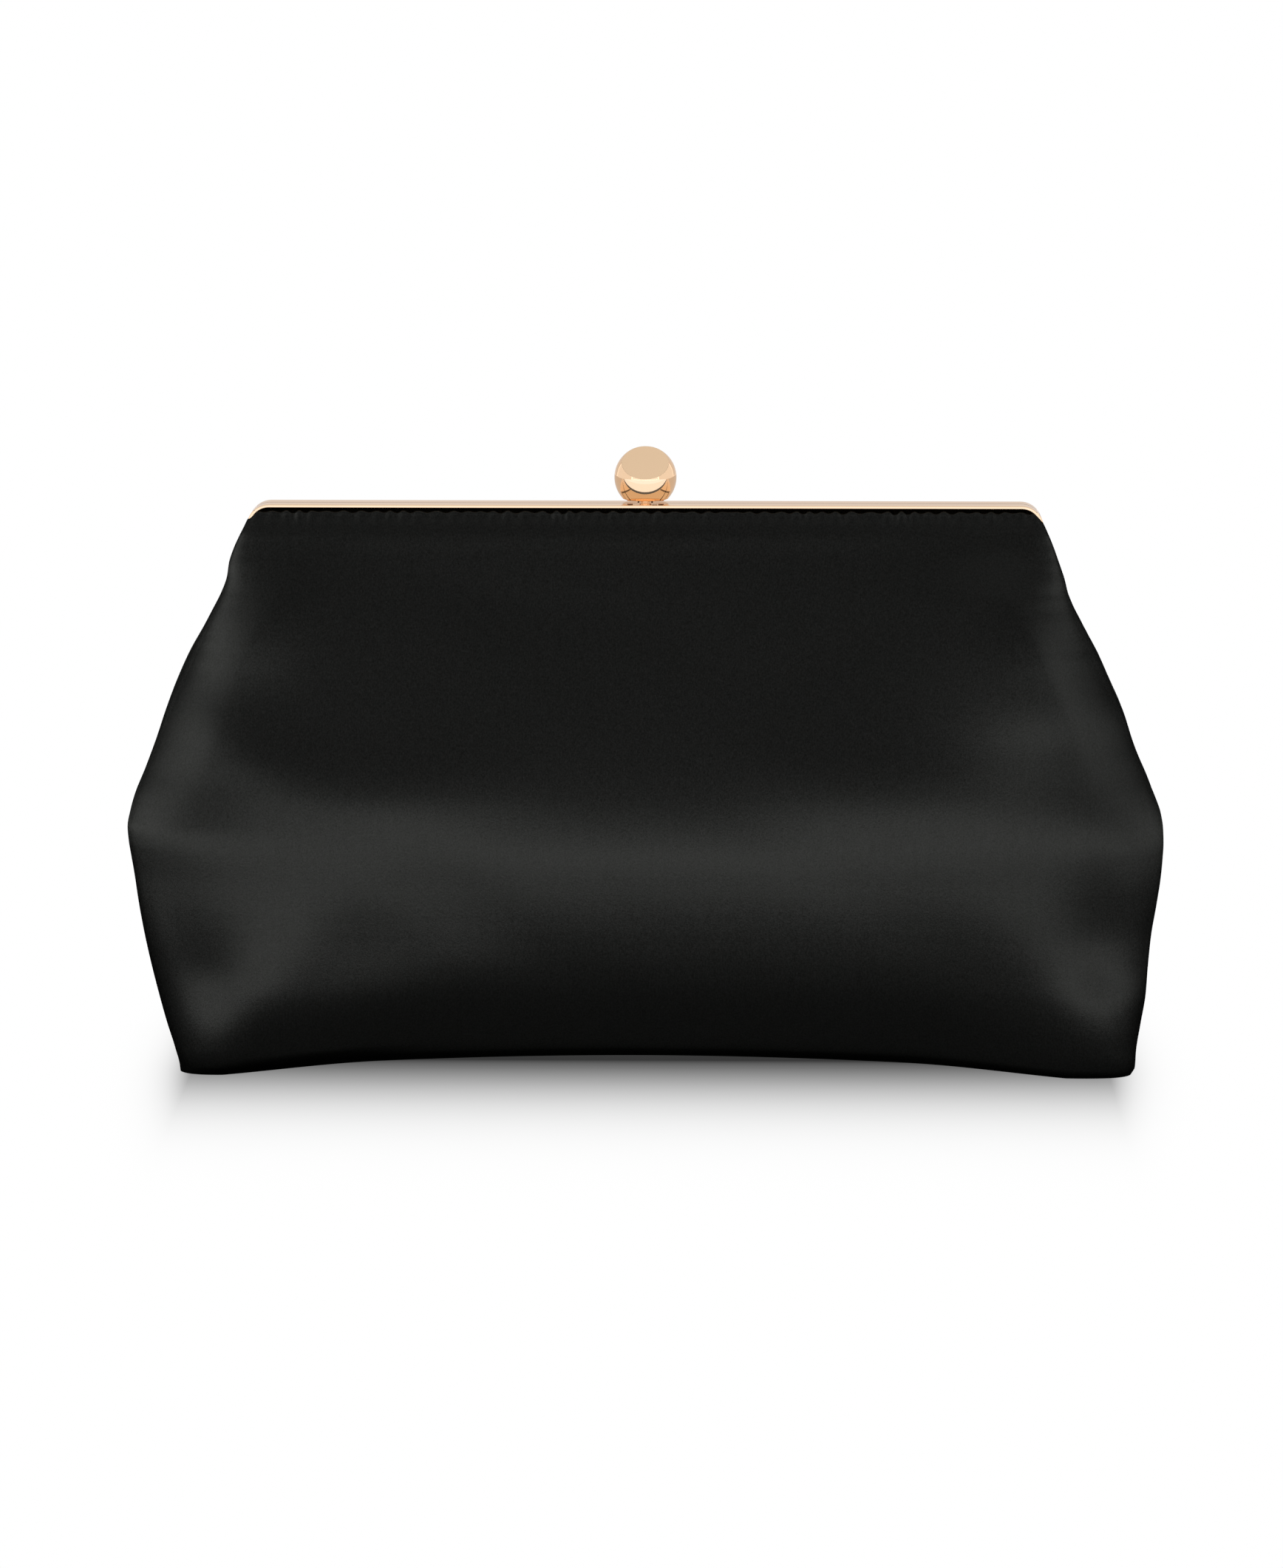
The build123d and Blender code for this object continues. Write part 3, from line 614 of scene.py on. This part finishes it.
# the satin and the metal are lit separately
gold_lit = bpy.data.collections.new("gold_lit")
satin_lit = bpy.data.collections.new("satin_lit")
for obj in list(bpy.context.scene.objects):
    if obj.type == "MESH" and obj not in (floor, backdrop):
        metal = any(slot.material in (GOLD_MAT, STEEL_MAT) for slot in obj.material_slots)
        (gold_lit if metal else satin_lit).objects.link(obj)


def softbox(lit, name, location, target, size, radiance, colour=(1, 1, 1)):
    """A rectangular light of even brightness, on one group of pieces."""
    data = bpy.data.lights.new(name, "AREA")
    data.shape, data.size, data.size_y = "RECTANGLE", size[0], size[1]
    data.energy = radiance * math.pi * size[0] * size[1]
    data.color = colour
    obj = bpy.data.objects.new(name, data)
    bpy.context.scene.collection.objects.link(obj)
    obj.visible_camera = False
    obj.location = location
    direction = Vector(target) - Vector(location)
    obj.rotation_euler = direction.to_track_quat("-Z", "Y").to_euler()
    obj.light_linking.receiver_collection = lit


# name, place, aim, size, radiance
for light in (
    ("overhead_softbox", (0, -0.30, 1.25), (0, -0.30, 0), (2.0, 1.9), 0.20),
    ("low_front_strip", (0, -1.15, 0.08), (0, 0, 0.06), (3.0, 0.16), 2.8),
    ("low_back_strip", (0, 1.25, 0.065), (0, 0, 0.065), (3.0, 0.13), 3.5),
    ("left_softbox", (-1.25, -0.42, 0.38), (0, 0, 0.06), (1.1, 0.8), 1.5),
    ("right_softbox", (1.25, -0.42, 0.38), (0, 0, 0.06), (1.1, 0.8), 1.0),
    ("left_edge_strip", (-1.15, 0.40, 0.05), (0, 0, 0.06), (1.1, 0.24), 2.2),
    ("right_edge_strip", (1.15, 0.40, 0.05), (0, 0, 0.06), (1.1, 0.24), 1.4),
):
    softbox(satin_lit, *light)
# and colour: white cards all round, then the table that the gold sees, which the pouch's own
# shadow keeps dark nearest to it
CARD_Z, CARD_HEIGHT = 0.775, 1.55
for light in (
    ("gold_overhead", (0, 0, 1.6), (0, 0, 0), (3.6, 3.2), 0.68, (1, 1, 1)),
    ("gold_front_card", (0, -1.7, CARD_Z), (0, 0, CARD_Z), (4.4, CARD_HEIGHT), 1.08,
     (1.0, 1.0, 1.05)),
    ("gold_left_card", (-2.0, 0, CARD_Z), (0, 0, CARD_Z), (3.4, CARD_HEIGHT), 0.84,
     (1.0, 0.97, 0.97)),
    ("gold_right_card", (2.0, 0, CARD_Z), (0, 0, CARD_Z), (3.4, CARD_HEIGHT), 0.84,
     (1.0, 0.97, 0.97)),
    ("gold_rear_card", (0, 1.7, CARD_Z), (0, 0, CARD_Z), (4.4, CARD_HEIGHT), 0.64,
     (1.0, 0.92, 0.87)),
    ("gold_near_floor", (0, -0.285, 0.0), (0, -0.285, 1.0), (4.0, 0.32), 1.12,
     (0.92, 0.93, 1.0)),
    ("gold_far_floor", (0, -1.195, 0.0), (0, -1.195, 1.0), (4.0, 1.5), 1.35,
     (0.80, 0.88, 1.0)),
    ("gold_rear_floor", (0, 1.0, 0.0), (0, 1.0, 1.0), (4.0, 1.9), 0.55, (1.0, 0.88, 0.80)),
):
    softbox(gold_lit, *light)
world = bpy.data.worlds.new("studio")
bpy.context.scene.world = world
world.use_nodes = True
world.node_tree.nodes["Background"].inputs[0].default_value = (1, 1, 1, 1)
world.node_tree.nodes["Background"].inputs[1].default_value = 0.12
bpy.context.scene.view_settings.view_transform = "Standard"

# ------------------------------------------------------------- camera
ELEVATION = math.radians(10.7)
AZIMUTH = math.radians(1.0)  # the photograph sees the right end very slightly nearer
DISTANCE = 1.40
VIEW_HEIGHT = 0.3940  # what the frame's full height takes in at that distance
SENSOR = 36.0
AIM = Vector((-0.00075, -0.010, 0.0722))
camera_data = bpy.data.cameras.new("camera")
camera_data.sensor_fit = "VERTICAL"
camera_data.sensor_height = SENSOR
camera_data.lens = SENSOR * DISTANCE / VIEW_HEIGHT
camera = bpy.data.objects.new("camera", camera_data)
bpy.context.scene.collection.objects.link(camera)
level = math.cos(ELEVATION)
towards = Vector((math.sin(AZIMUTH) * level, -math.cos(AZIMUTH) * level, math.sin(ELEVATION)))
camera.location = AIM + DISTANCE * towards
camera.rotation_euler = (AIM - camera.location).to_track_quat("-Z", "Y").to_euler()
bpy.context.scene.camera = camera
